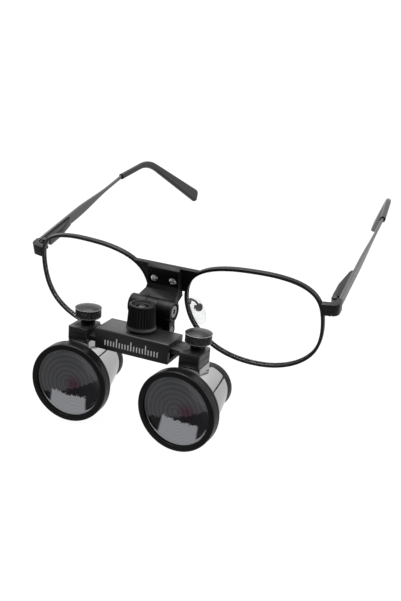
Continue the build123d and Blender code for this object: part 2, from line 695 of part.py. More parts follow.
# ------------------------------------------------------------------ crossbar
COVER_HOLES = [(sx * 13.0, sy * 5.65) for sx in (-1, 1) for sy in (-1, 1)]
COVER_SCREW_RADIUS = 0.45
with BuildPart() as crossbar_housing:
    with BuildSketch(bar_level(-CHANNEL_TOP)):
        Rectangle(BAR_LENGTH, BAR_DEPTH)
    extrude(amount=CHANNEL_TOP + BAR_TOP)
    chamfer(crossbar_housing.faces().sort_by(Axis.Z)[-1].edges(), 0.3)
    with BuildSketch(bar_level(-CHANNEL_TOP)):
        Rectangle(BAR_LENGTH, 2 * CHANNEL_HALF)
    extrude(amount=2 * CHANNEL_TOP, mode=Mode.SUBTRACT)
    with BuildSketch(bar_level(CHANNEL_TOP)):
        with Locations((0, KNOB_Y)):
            Circle(1.6 + RUNNING_GAP)
    extrude(amount=3, mode=Mode.SUBTRACT)
    with BuildSketch(bar_side(-LUG_HALF_WIDTH)):
        with Locations(LOWER_AXIS):
            Circle(2.5)
        with Locations((6.6, 0.6)):
            Rectangle(0.4, 4.6)
        make_hull()
    extrude(amount=2 * LUG_HALF_WIDTH)
    with BuildSketch(bar_side(-LUG_HALF_WIDTH)):
        with Locations(LOWER_AXIS):
            Circle(LOWER_PIN + RUNNING_GAP)
    extrude(amount=2 * LUG_HALF_WIDTH, mode=Mode.SUBTRACT)
    with BuildSketch(bar_level(-CHANNEL_TOP)):
        with Locations(*COVER_HOLES):
            Circle(COVER_SCREW_RADIUS)
    extrude(amount=2.5, mode=Mode.SUBTRACT)
save(crossbar_housing, "crossbar_housing")

with BuildPart() as crossbar_cover:
    with BuildSketch(bar_level(BAR_BOTTOM)):
        Rectangle(BAR_LENGTH, BAR_DEPTH)
        with Locations((0, KNOB_Y)):
            Circle(1.0 + RUNNING_GAP, mode=Mode.SUBTRACT)
        with Locations(*COVER_HOLES):
            Circle(COVER_SCREW_RADIUS, mode=Mode.SUBTRACT)
    extrude(amount=-CHANNEL_TOP - BAR_BOTTOM)
    with BuildSketch(bar_level(BAR_BOTTOM)):
        with Locations(*COVER_HOLES):
            Circle(0.75)
    extrude(amount=0.5, mode=Mode.SUBTRACT)
save(crossbar_cover, "crossbar_cover")

with BuildPart() as cover_screws:
    with BuildSketch(bar_level(BAR_BOTTOM + 0.1)):
        with Locations(*COVER_HOLES):
            Circle(0.7)
    extrude(amount=0.4)
    with BuildSketch(bar_level(BAR_BOTTOM + 0.5)):
        with Locations(*COVER_HOLES):
            Circle(COVER_SCREW_RADIUS)
    extrude(amount=2.8)
save(cover_screws, "cover_screws")

# ------------------------------------------------------------------ knob, pinion and racks
PITCH_RADIUS = GEAR_MODULE * GEAR_TEETH / 2
TOOTH_PITCH = pi * GEAR_MODULE


def involute(angle):
    """The involute function of a pressure angle."""
    return tan(angle) - angle


def gear_outline():
    """Corner points of the pinion, with one tooth centred on +Y."""
    base = PITCH_RADIUS * cos(PRESSURE_ANGLE)
    tip = PITCH_RADIUS + ADDENDUM
    root = PITCH_RADIUS - DEDENDUM
    half_tooth = pi / (2 * GEAR_TEETH) - BACKLASH / PITCH_RADIUS
    flank = []
    for step in range(5):
        radius = base + (tip - base) * step / 4
        turn = half_tooth + involute(PRESSURE_ANGLE) - involute(acos(base / radius))
        flank.append((radius, turn))
    flank.insert(0, (root, flank[0][1] + 0.06))
    points = []
    for tooth in range(GEAR_TEETH):
        centre = pi / 2 + 2 * pi * tooth / GEAR_TEETH
        for radius, turn in flank:
            points.append((radius * cos(centre - turn), radius * sin(centre - turn)))
        for radius, turn in reversed(flank):
            points.append((radius * cos(centre + turn), radius * sin(centre + turn)))
    return points


def rack_slot(near_side):
    """The left slide arm's slot: a rack along one side, plain along the other.

    near_side is +1 for a rack behind the pinion and -1 for one in front of it.
    """
    start = -TRAVEL_OUT - PITCH_RADIUS - 0.7
    end = TRAVEL_IN + PITCH_RADIUS + 0.7
    tip_line = KNOB_Y + near_side * (PITCH_RADIUS - ADDENDUM)
    root_line = KNOB_Y + near_side * (PITCH_RADIUS + DEDENDUM)
    plain_line = KNOB_Y - near_side * (PITCH_RADIUS + ADDENDUM + 0.3)
    half_gap = TOOTH_PITCH / 4 + BACKLASH
    half_mouth = half_gap + ADDENDUM * tan(PRESSURE_ANGLE)
    half_floor = half_gap - DEDENDUM * tan(PRESSURE_ANGLE)
    points = [(start, plain_line), (start, tip_line)]
    for gap in range(-8, 4):
        middle = gap * TOOTH_PITCH
        points.append((middle - half_mouth, tip_line))
        points.append((middle - half_floor, root_line))
        points.append((middle + half_floor, root_line))
        points.append((middle + half_mouth, tip_line))
    points += [(end, tip_line), (end, plain_line)]
    return points


KNOB_BASE = 5.1
KNOB_TOP = 15.2
with BuildPart() as pinion_shaft:
    with BuildSketch(bar_level(-CHANNEL_TOP + 0.05)):
        with BuildLine():
            Polyline(*[(x, y + KNOB_Y) for x, y in gear_outline()], close=True)
        make_face()
    extrude(amount=2 * CHANNEL_TOP - 0.1)
    with BuildSketch(bar_level(CHANNEL_TOP - 0.05)):
        with Locations((0, KNOB_Y)):
            Circle(1.6)
    extrude(amount=9)
    with BuildSketch(bar_level(BAR_BOTTOM + 0.2)):
        with Locations((0, KNOB_Y)):
            Circle(1.0)
    extrude(amount=2)
    with BuildSketch(bar_level(6.2)):
        with Locations((0, KNOB_Y)):
            Circle(0.8)
    extrude(amount=6, mode=Mode.SUBTRACT)
save(pinion_shaft, "pinion_shaft")

KNOB_PROFILE = [
    (BAR_TOP + 0.1, 1.6), (BAR_TOP + 0.1, 4.3), (KNOB_BASE, 4.3), (KNOB_BASE, 5.9), (KNOB_BASE + 0.9, 5.9), (KNOB_BASE + 1.2, 5.7),
    (KNOB_TOP - 0.6, 5.15), (KNOB_TOP, 4.6), (KNOB_TOP - 0.7, 2.6), (KNOB_TOP - 1.7, 2.4),
    (KNOB_TOP - 1.7, 0.9), (11.2, 0.9), (11.2, 1.6),
]
pd_knob = turned(bar_upright(0, KNOB_Y, 0), KNOB_PROFILE)
save(pd_knob, "pd_knob")

knob_screw_body = turned(
    bar_upright(0, KNOB_Y, 0),
    [(6.6, 0), (KNOB_TOP - 0.8, 0), (KNOB_TOP - 0.8, 1.2), (KNOB_TOP - 1.1, 1.6),
     (KNOB_TOP - 1.7, 1.6), (KNOB_TOP - 1.7, 0.8), (6.6, 0.8)],
)
with BuildPart() as knob_screw:
    add(knob_screw_body.part)
    with BuildSketch(bar_level(KNOB_TOP - 1.2)):
        with Locations((0, KNOB_Y)):
            Rectangle(4, 0.5)
    extrude(amount=1, mode=Mode.SUBTRACT)
save(knob_screw, "knob_screw")

DOWELS = [(CLAMP_X + side * 2.6, -4.2) for side in (-1, 1)]
CLAMP_CENTRE_Y = (CLAMP_FRONT + CLAMP_BACK) / 2
CLAMP_LENGTH = CLAMP_BACK - CLAMP_FRONT
ARM_INNER_END = -TRAVEL_OUT - PITCH_RADIUS - 0.7 - 1.7


def clamp_area(corner=0.8):
    """The clamp's outline seen from above, with the holes that go through it."""
    with BuildSketch() as area:
        with Locations((CLAMP_X, CLAMP_CENTRE_Y)):
            RectangleRounded(CLAMP_WIDTH, CLAMP_LENGTH, corner)
        with Locations((CLAMP_X, CLAMP_Y)):
            Circle(THUMB_SHANK + RUNNING_GAP, mode=Mode.SUBTRACT)
        with Locations(*DOWELS):
            Circle(0.6, mode=Mode.SUBTRACT)
    return area.sketch


def slide_arm(low, high, pad_low, near_side):
    """A slide arm for the left barrel, between two levels of the bar frame."""
    with BuildPart() as arm:
        with BuildSketch(bar_level(low)):
            with Locations(((ARM_INNER_END + CLAMP_X - 3) / 2, 0)):
                Rectangle(CLAMP_X - 3 - ARM_INNER_END, 2 * CHANNEL_HALF - 0.1)
            with BuildLine():
                Polyline(*rack_slot(near_side), close=True)
            make_face(mode=Mode.SUBTRACT)
            with Locations(*DOWELS):
                Circle(0.6, mode=Mode.SUBTRACT)
        extrude(amount=high - low)
        with BuildSketch(bar_level(pad_low)):
            add(clamp_area())
        extrude(amount=high - pad_low)
    return arm


def clamp_block(low, high):
    """A clamp block for the left barrel, between two levels of the bar frame."""
    with BuildPart() as block:
        with BuildSketch(bar_level(low)):
            add(clamp_area())
        extrude(amount=high - low)
    return block


# the left arm runs above the middle plane, the right arm below it, on either side of the pinion
save(slide_arm(ARM_SPLIT, CLAMP_TOP, ARM_SPLIT, 1), "slide_arm_left")
save(mirrored(slide_arm(-CLAMP_TOP, -ARM_SPLIT, CLAMP_BOTTOM, -1)), "slide_arm_right")
save(clamp_block(CLAMP_BOTTOM, ARM_SPLIT), "clamp_block_left")
save(mirrored(clamp_block(-ARM_SPLIT, CLAMP_TOP)), "clamp_block_right")

with BuildPart() as clamp_dowels:
    with BuildSketch(bar_level(CLAMP_BOTTOM + 0.1)):
        with Locations(*DOWELS):
            Circle(0.6)
    extrude(amount=CLAMP_TOP - CLAMP_BOTTOM - 0.15)
save_pair(clamp_dowels, "clamp_dowels")

THUMB_END = -5.0
THUMB_PROFILE = [
    (THUMB_END, 0), (9.4, 0), (9.25, 2.2), (8.75, 4.1), (8.2, 5.2), (7.9, 5.45), (5.1, 5.45),
    (4.7, 5.0), (4.2, 3.5), (3.9, 3.0), (CLAMP_TOP + 0.05, 3.0),
    (CLAMP_TOP + 0.05, THUMB_SHANK), (THUMB_END, THUMB_SHANK),
]
thumb_screw = turned(bar_upright(CLAMP_X, CLAMP_Y, 0), THUMB_PROFILE)
save_pair(thumb_screw, "thumb_screw")

# ------------------------------------------------------------------ barrels
SHELL_BACK_END = 27.2            # where the eyepiece ring's thread begins
SHELL_OUTER = [
    (LENS_FRONT, SHELL_SPIGOT), (BEZEL_LENGTH, SHELL_SPIGOT), (BEZEL_LENGTH, SHELL_FRONT),
    (8.5, 14.0), (SHELL_BACK_END, SHELL_BACK), (SHELL_BACK_END, 8.9), (29.0, 8.9),
]
SHELL_INNER = [
    (29.0, 8.0), (26.6, 8.0), (26.6, 8.3), (8.2, 12.4), (LENS_BACK, 12.4),
    (LENS_BACK, LENS_SEAT), (LENS_FRONT, LENS_SEAT),
]
barrel_shell = turned(BARREL, SHELL_OUTER + SHELL_INNER)
save_pair(barrel_shell, "barrel_shell")

bezel = turned(
    BARREL,
    [(0.5, BEZEL_RADIUS), (BEZEL_LENGTH - 0.3, BEZEL_RADIUS), (BEZEL_LENGTH, BEZEL_RADIUS - 0.3),
     (BEZEL_LENGTH, SHELL_SPIGOT), (LENS_FRONT, SHELL_SPIGOT), (LENS_FRONT, BEZEL_BORE),
     (0.3, BEZEL_BORE), (0, BEZEL_BORE + 0.3), (0, 15.65)],
)
save_pair(bezel, "bezel")

with BuildPart() as objective_lens:
    with BuildSketch(BARREL):
        with BuildLine():
            front_dome = dome(LENS_FRONT - 1.25, LENS_FRONT, BEZEL_BORE - 0.2)
            back_dome = dome(LENS_BACK + 1.0, LENS_BACK, 12.2)
            Polyline(
                front_dome @ 1, (LENS_FRONT, LENS_SEAT), (LENS_BACK, LENS_SEAT), back_dome @ 1
            )
            Line(back_dome @ 0, front_dome @ 0)
        make_face()
    revolve(axis=Axis(BARREL.origin, BARREL.x_dir))
save_pair(objective_lens, "objective_lens")

# light-trap tube: a sawtooth bore whose steps get smaller towards the eye
TRAP_STEPS = 9
TRAP_FRONT = 5.8
TRAP_BACK = 25.6
trap_profile = []
for step in range(TRAP_STEPS):
    step_at = TRAP_FRONT + (TRAP_BACK - TRAP_FRONT) * step / TRAP_STEPS
    step_length = (TRAP_BACK - TRAP_FRONT) / TRAP_STEPS
    wall = 12.2 - (step_at - 8.2) * 0.215
    trap_profile.append((step_at, min(wall, 12.2) - 0.5))
    trap_profile.append((step_at + step_length, wall - 1.6))
trap_outer = [(TRAP_BACK, 8.4), (8.2, 12.2), (TRAP_FRONT, 12.2)]
light_trap = turned(BARREL, trap_profile + trap_outer)
save_pair(light_trap, "light_trap")

with BuildPart() as eyepiece_lens:
    with BuildSketch(BARREL):
        with BuildLine():
            eye_front = dome(27.6, 26.8, 7.4)
            eye_back = dome(28.6, 29.4, 7.4)
            Polyline(eye_front @ 1, (26.8, 7.95), (29.4, 7.95), eye_back @ 1)
            Line(eye_back @ 0, eye_front @ 0)
        make_face()
    revolve(axis=Axis(BARREL.origin, BARREL.x_dir))
save_pair(eyepiece_lens, "eyepiece_lens")

eyepiece_ring = turned(
    BARREL,
    [(27.25, 8.9), (27.25, EYEPIECE_RADIUS), (BARREL_LENGTH - 0.5, EYEPIECE_RADIUS),
     (BARREL_LENGTH, EYEPIECE_RADIUS - 0.5), (BARREL_LENGTH, 7.9), (29.8, 7.1), (29.45, 7.1),
     (29.45, 8.9)],
)
save_pair(eyepiece_ring, "eyepiece_ring")

# saddle: stands on the barrel and carries the thumb screw's thread
with BuildPart() as saddle:
    with BuildSketch(bar_level(CLAMP_BOTTOM - 0.05)):
        with Locations((CLAMP_X, SADDLE_Y)):
            RectangleRounded(*SADDLE_SIZE, 0.8)
    extrude(amount=-7)
    add(turned(BARREL, [(-5, 0), (40, 0), (40, 6.9), (8.5, 14.0), (BEZEL_LENGTH, SHELL_FRONT),
                        (BEZEL_LENGTH, BEZEL_RADIUS), (-5, BEZEL_RADIUS)]).part,
        mode=Mode.SUBTRACT)
    with BuildSketch(bar_level(CLAMP_BOTTOM)):
        with Locations((CLAMP_X, CLAMP_Y)):
            Circle(THUMB_SHANK + RUNNING_GAP)
    extrude(amount=-2.2, mode=Mode.SUBTRACT)
save_pair(saddle, "saddle")
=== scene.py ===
"""Looks for the dental loupes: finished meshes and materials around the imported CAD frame.

Shapes are written in millimetres in a local frame (the spectacles, the crossbar or a barrel),
and a placing matrix turns them into the row frame's metres.
"""

import json
import math

import bmesh
import bpy
import numpy as np
from mathutils import Matrix, Vector
from mathutils.bvhtree import BVHTree


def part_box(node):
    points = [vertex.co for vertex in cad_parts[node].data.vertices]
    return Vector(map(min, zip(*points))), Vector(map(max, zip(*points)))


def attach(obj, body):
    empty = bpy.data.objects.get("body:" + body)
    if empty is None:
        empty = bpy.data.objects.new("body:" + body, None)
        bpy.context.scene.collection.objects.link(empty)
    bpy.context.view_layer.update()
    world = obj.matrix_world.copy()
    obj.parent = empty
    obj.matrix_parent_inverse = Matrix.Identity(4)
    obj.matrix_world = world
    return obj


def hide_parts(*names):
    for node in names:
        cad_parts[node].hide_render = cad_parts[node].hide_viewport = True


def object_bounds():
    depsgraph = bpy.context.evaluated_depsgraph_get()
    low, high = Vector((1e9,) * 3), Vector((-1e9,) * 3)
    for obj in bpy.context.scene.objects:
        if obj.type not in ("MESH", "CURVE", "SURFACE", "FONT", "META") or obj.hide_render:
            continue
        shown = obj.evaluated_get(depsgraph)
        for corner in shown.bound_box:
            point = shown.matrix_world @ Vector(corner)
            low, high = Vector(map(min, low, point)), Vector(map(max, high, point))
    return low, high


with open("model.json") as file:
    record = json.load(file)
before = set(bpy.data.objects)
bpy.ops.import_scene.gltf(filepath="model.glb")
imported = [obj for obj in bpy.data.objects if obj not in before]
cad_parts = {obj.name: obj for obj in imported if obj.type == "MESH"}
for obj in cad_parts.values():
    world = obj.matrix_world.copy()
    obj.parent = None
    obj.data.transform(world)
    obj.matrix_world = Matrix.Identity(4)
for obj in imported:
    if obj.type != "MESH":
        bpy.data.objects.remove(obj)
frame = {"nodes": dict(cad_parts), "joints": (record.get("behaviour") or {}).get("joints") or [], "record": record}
cad_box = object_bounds()

MM = 0.001
NODES = frame["nodes"]
RECORD = frame["record"]
SIDES = {"left": 1, "right": -1}
SLOT_OF = {part["node"]: part["material_slot"] for part in RECORD["subparts"]}
BODY_OF = {node: body for body, nodes in RECORD["behaviour"]["bodies"].items() for node in nodes}


# ------------------------------------------------------------------ places, from the frame
def joint(name):
    """A joint of the record, by name."""
    return next(entry for entry in frame["joints"] if entry["name"] == name)


def mount(name):
    """A mount of the record, by name."""
    return next(entry for entry in RECORD["mounts"] if entry["name"] == name)


def placing(origin, x_dir, y_dir):
    """Millimetres in a local frame to metres in the row frame."""
    x_dir = Vector(x_dir).normalized()
    y_dir = Vector(y_dir).normalized()
    turn = Matrix((x_dir, y_dir, x_dir.cross(y_dir))).transposed().to_4x4()
    return Matrix.Translation(origin) @ turn @ Matrix.Scale(MM, 4)


def box_mm(node):
    """A node's lowest and highest corner, in millimetres."""
    low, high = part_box(node)
    return low / MM, high / MM


SPECTACLES = Matrix.Scale(MM, 4)
CLAMP_Y = 2.2            # the swivel axes are this far behind the crossbar's middle
RIM_MOUNT = 2.7          # a barrel's front to the middle of its rim mount
PLATE_GAP = 0.9          # the bridge plate's rear face to the bridge
PLATE_TOP = 9.1          # the bridge plate's top above the bridge
left_swivel, right_swivel = joint("barrel_swivel_left"), joint("barrel_swivel_right")
SWIVEL = {"left": Vector(left_swivel["pos_m"]), "right": Vector(right_swivel["pos_m"])}
BAR_X = (SWIVEL["left"] - SWIVEL["right"]).normalized()
BAR_UP = Vector(left_swivel["axis"]).normalized()
BAR_BACK = BAR_UP.cross(BAR_X)
BAR = placing((SWIVEL["left"] + SWIVEL["right"]) / 2 - BAR_BACK * CLAMP_Y * MM, BAR_X, BAR_BACK)
KNOB = placing(joint("pd_knob_turn")["pos_m"], BAR_X, BAR_BACK)
THUMB = {side: placing(SWIVEL[side], BAR_X, BAR_BACK) for side in SIDES}
BARREL = {}
for side in SIDES:
    rim_mount = mount(f"bezel_rim_{side}")
    back = -Vector(rim_mount["axis"])
    front_centre = Vector(rim_mount["pos_m"]) - back * RIM_MOUNT * MM
    BARREL[side] = placing(front_centre, BAR_UP.cross(back), BAR_UP)
plate_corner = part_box("bridge_plate")[1]
BRIDGE = Vector((0, plate_corner.y + PLATE_GAP * MM, plate_corner.z - PLATE_TOP * MM))


# ------------------------------------------------------------------ mesh helpers
def add_piece(name, shape, place, material, body=None, stands_for=(), sharp=38):
    """A new piece from (points, faces), riding on the body of the node that it stands for.

    Each point's distance from the local Z axis, in millimetres, is kept as "reach".
    """
    points, faces = shape
    mesh = bpy.data.meshes.new(name)
    mesh.from_pydata([place @ Vector(point) for point in points], [], faces)
    reach = mesh.attributes.new("reach", "FLOAT", "POINT")
    reach.data.foreach_set("value", [math.hypot(point[0], point[1]) for point in points])
    work = bmesh.new()
    work.from_mesh(mesh)
    bmesh.ops.remove_doubles(work, verts=work.verts, dist=1e-7)
    bmesh.ops.recalc_face_normals(work, faces=work.faces)
    work.to_mesh(mesh)
    work.free()
    mesh.shade_smooth()
    mesh.set_sharp_from_angle(angle=math.radians(sharp))
    mesh.materials.append(material)
    piece = bpy.data.objects.new(name, mesh)
    bpy.context.scene.collection.objects.link(piece)
    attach(piece, body or BODY_OF[stands_for[0]])
    if stands_for:
        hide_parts(*stands_for)
    return piece


def rounded(outline, size, steps=4):
    """A closed outline with soft corners; a corner written (a, b, r) has its own size."""
    result = []
    for index, corner in enumerate(outline):
        here = Vector(corner[:2])
        to_before = Vector(outline[index - 1][:2]) - here
        to_after = Vector(outline[(index + 1) % len(outline)][:2]) - here
        reach = corner[2] if len(corner) > 2 else size
        reach = min(reach, 0.45 * to_before.length, 0.45 * to_after.length)
        if reach < 1e-4:
            result.append(here)
            continue
        start = here + to_before.normalized() * reach
        end = here + to_after.normalized() * reach
        for step in range(steps + 1):
            t = step / steps
            result.append(start * (1 - t) ** 2 + here * 2 * t * (1 - t) + end * t ** 2)
    return [tuple(point) for point in result]


def lathe(outline, segments=128, ripple=None):
    """A turned solid; outline is a closed loop of (along, radius) and the axis is local Z."""
    points = []
    faces = []
    count = len(outline)
    for segment in range(segments):
        turn = math.tau * segment / segments
        for along, radius in outline:
            if ripple:
                radius += ripple(turn, along, radius)
            points.append((radius * math.cos(turn), radius * math.sin(turn), along))
    for segment in range(segments):
        here = segment * count
        there = (segment + 1) % segments * count
        for low in range(count):
            high = (low + 1) % count
            on_axis = (outline[low][1] == 0, outline[high][1] == 0)
            if on_axis == (True, True):
                continue
            if on_axis == (True, False):
                faces.append((here + low, here + high, there + high))
            elif on_axis == (False, True):
                faces.append((here + low, here + high, there + low))
            else:
                faces.append((here + low, here + high, there + high, there + low))
    return points, faces


def arc_profile(apex, edge, radius, steps=20):
    """Points of a domed lens face, from its edge in to the axis."""
    result = []
    for step in range(steps + 1):
        share = 1 - step / steps
        result.append((apex + (edge - apex) * share ** 2, radius * share))
    return result


def sweep(path, sections, lift, closed=False):
    """A solid along a path. Each section holds (side, lift) points; side is tangent x lift."""
    points = []
    faces = []
    count = len(sections[0])
    total = len(path)
    for index, here in enumerate(path):
        if closed:
            along = path[(index + 1) % total] - path[index - 1]
        else:
            along = path[min(index + 1, total - 1)] - path[max(index - 1, 0)]
        along.normalize()
        side = along.cross(lift).normalized()
        up = side.cross(along)
        for across, height in sections[index]:
            points.append(here + side * across + up * height)
    for index in range(total if closed else total - 1):
        here = index * count
        there = (index + 1) % total * count
        for low in range(count):
            high = (low + 1) % count
            faces.append((here + low, here + high, there + high, there + low))
    if not closed:
        faces.append(tuple(range(count)))
        faces.append(tuple(range((total - 1) * count, total * count)))
    return points, faces


def oval(half_width, half_height, power=2.0, count=24):
    """A superellipse section: power 2 is an ellipse, and higher is squarer."""
    result = []
    for step in range(count):
        turn = math.tau * step / count
        c, s = math.cos(turn), math.sin(turn)
        result.append((
            half_width * math.copysign(abs(c) ** (2 / power), c),
            half_height * math.copysign(abs(s) ** (2 / power), s),
        ))
    return result


def smoothstep(low, high, value):
    """0 below low, 1 above high, smooth between."""
    t = min(max((value - low) / (high - low), 0), 1)
    return t * t * (3 - 2 * t)


# ------------------------------------------------------------------ materials
class Graph:
    """The nodes of a material or a world, added one by one."""

    def __init__(self, owner, output_kind="ShaderNodeOutputMaterial"):
        owner.use_nodes = True
        self.owner = owner
        self.tree = owner.node_tree
        self.tree.nodes.clear()
        self.output = self.tree.nodes.new(output_kind)
        self.place = self.node("ShaderNodeTexCoord").outputs["Object"]

    def node(self, kind, inputs=None, **settings):
        """A node with its settings and inputs; an input is a value or another node's output."""
        made = self.tree.nodes.new(kind)
        for key, value in settings.items():
            setattr(made, key, value)
        for key, value in (inputs or {}).items():
            if isinstance(value, bpy.types.NodeSocket):
                self.tree.links.new(value, made.inputs[key])
            else:
                made.inputs[key].default_value = value
        return made

    def noise(self, size_mm, detail=3.0, roughness=0.55, stretch=None):
        """Noise whose features are about size_mm across."""
        place = self.place
        if stretch:
            place = self.node("ShaderNodeMapping", {"Vector": place, "Scale": stretch}).outputs[0]
        inputs = {"Vector": place, "Scale": 1 / (size_mm * MM), "Detail": detail,
                  "Roughness": roughness}
        return self.node("ShaderNodeTexNoise", inputs).outputs["Fac"]

    def remap(self, value, low, high, to_low, to_high):
        """Maps a value from one range to another, clamped."""
        inputs = {"Value": value, "From Min": low, "From Max": high,
                  "To Min": to_low, "To Max": to_high}
        return self.node("ShaderNodeMapRange", inputs).outputs[0]

    def math(self, operation, first, second=0.0):
        """One arithmetic step."""
        return self.node("ShaderNodeMath", {0: first, 1: second}, operation=operation).outputs[0]

    def product(self, first, *others):
        """All the values multiplied together."""
        for other in others:
            first = self.math("MULTIPLY", first, other)
        return first

    def dot(self, first, second):
        """The dot product of two vectors."""
        inputs = {0: first, 1: second}
        made = self.node("ShaderNodeVectorMath", inputs, operation="DOT_PRODUCT")
        return made.outputs["Value"]

    def reach(self):
        """A piece's "reach": millimetres from its turning axis."""
        return self.node("ShaderNodeAttribute", attribute_name="reach").outputs["Fac"]

    def mix(self, share, first, second):
        """Mixes two colours."""
        inputs = {0: share, 6: first, 7: second}        # the colour version's sockets
        return self.node("ShaderNodeMix", inputs, data_type="RGBA").outputs[2]

    def edges(self, radius_mm):
        """1 on sharp edges and 0 on flats, from how far a bevelled normal leans."""
        bevel = self.node("ShaderNodeBevel", {"Radius": radius_mm * MM}, samples=4).outputs[0]
        flat = self.node("ShaderNodeNewGeometry").outputs["Normal"]
        return self.remap(self.dot(bevel, flat), 0.995, 0.8, 0, 1)

    def finish(self, shader):
        """Connects the last shader and returns the material or world."""
        self.tree.links.new(shader, self.output.inputs["Surface"])
        return self.owner


def grey(value, alpha=1.0):
    """A neutral colour."""
    return (value, value, value, alpha)


def coated_metal(name, base, rough, metallic=0.0, grain_mm=0.12, grain=0.15, wear_and_highlight=0.35,
                 wear_and_highlight_colour=grey(0.35), specular=0.5, blotch=0.15, stretch=None, ridges=None):
    """Painted, anodised or plated metal: fine grain, uneven gloss, and edges made paler, partly as wear and partly
    as a painted highlight.

    ridges is the reach, from and to, over which a ribbed surface is made pale, partly as rubbing and partly as a
    painted highlight.
    """
    g = Graph(bpy.data.materials.new(name))
    fine = g.noise(grain_mm, 2, 0.6, stretch)
    broad = g.noise(6.0, 4)
    smudge = g.noise(1.6, 5, 0.65)
    # edges made paler: partly wear, partly a painted highlight like thin edge shine
    worn_and_highlit = g.product(g.edges(0.16), g.remap(smudge, 0.4, 0.62, 0.25, 1), wear_and_highlight)
    low = tuple(channel * (1 - blotch) for channel in base[:3]) + (1,)
    high = tuple(channel * (1 + blotch) for channel in base[:3]) + (1,)
    colour = g.mix(broad, low, high)
    colour = g.mix(worn_and_highlit, colour, wear_and_highlight_colour)
    # ribbed crests made paler by their reach: partly rubbing, partly a painted highlight
    if ridges:
        colour = g.mix(g.remap(g.reach(), *ridges, 0.0, 1.0), colour, wear_and_highlight_colour)
    gloss = g.remap(smudge, 0.3, 0.7, rough * 0.85, rough * 1.2)
    bump = g.node("ShaderNodeBump", {"Strength": grain, "Distance": 0.02 * MM, "Height": fine})
    inputs = {"Base Color": colour, "Roughness": gloss, "Metallic": metallic,
              "Specular IOR Level": specular, "Normal": bump.outputs[0]}
    return g.finish(g.node("ShaderNodeBsdfPrincipled", inputs).outputs[0])


def clear_glass(name, tint, strength, limit, body):
    """Thin clear glass: see-through, with a reflection that grows at glancing angles.

    limit is the reflection's largest share, and body is how much light comes through.
    """
    g = Graph(bpy.data.materials.new(name))
    fresnel = g.node("ShaderNodeFresnel", {"IOR": 1.5}).outputs[0]
    haze = g.remap(g.noise(9.0, 4), 0.3, 0.7, 0.9, 1.1)
    share = g.math("MINIMUM", g.product(fresnel, haze, strength), limit)
    through = g.node("ShaderNodeBsdfTransparent", {"Color": grey(body)}).outputs[0]
    shine = g.node("ShaderNodeBsdfGlossy", {"Color": tint, "Roughness": 0.01}).outputs[0]
    mixed = g.node("ShaderNodeMixShader", {0: share, 1: through, 2: shine}).outputs[0]
    return g.finish(mixed)


# the middle of the painted window reflection, as a direction mirrored from the barrels, and the directions across
# and up it
WINDOW = Vector((-0.40, -0.83, -0.44)).normalized()
WINDOW_RIGHT = WINDOW.cross(Vector((0, 0, 1))).normalized()
WINDOW_UP = WINDOW_RIGHT.cross(WINDOW)
WINDOW_HALF = 0.18                     # across and up are sines of angles from the middle
WINDOW_LOW, WINDOW_HIGH = -0.16, 0.115
WINDOW_LEAN = 0.3                      # its sides lean by this much for each unit up
ROOM_LOW, ROOM_SLOPE = 0.15, -0.45     # the painted room reflection begins on a sloping line above the painted window
PAINTED_BLUSH_AT = (-0.12, 0.24)               # a painted reddish spot of stray light, across and up
# colours and glow strengths of the painted reflection
PAINTED_BLUSH_COLOUR = (0.75, 0.16, 0.36, 1)
PAINTED_REFLECTION_COLOUR = (0.93, 0.95, 1.0, 1)
PAINTED_WINDOW_GLOW, PAINTED_ROOM_GLOW = 0.3, 0.05
FINE_ARC, WIDE_ARC = 0.62, 1.9         # millimetres from one painted arc to the next
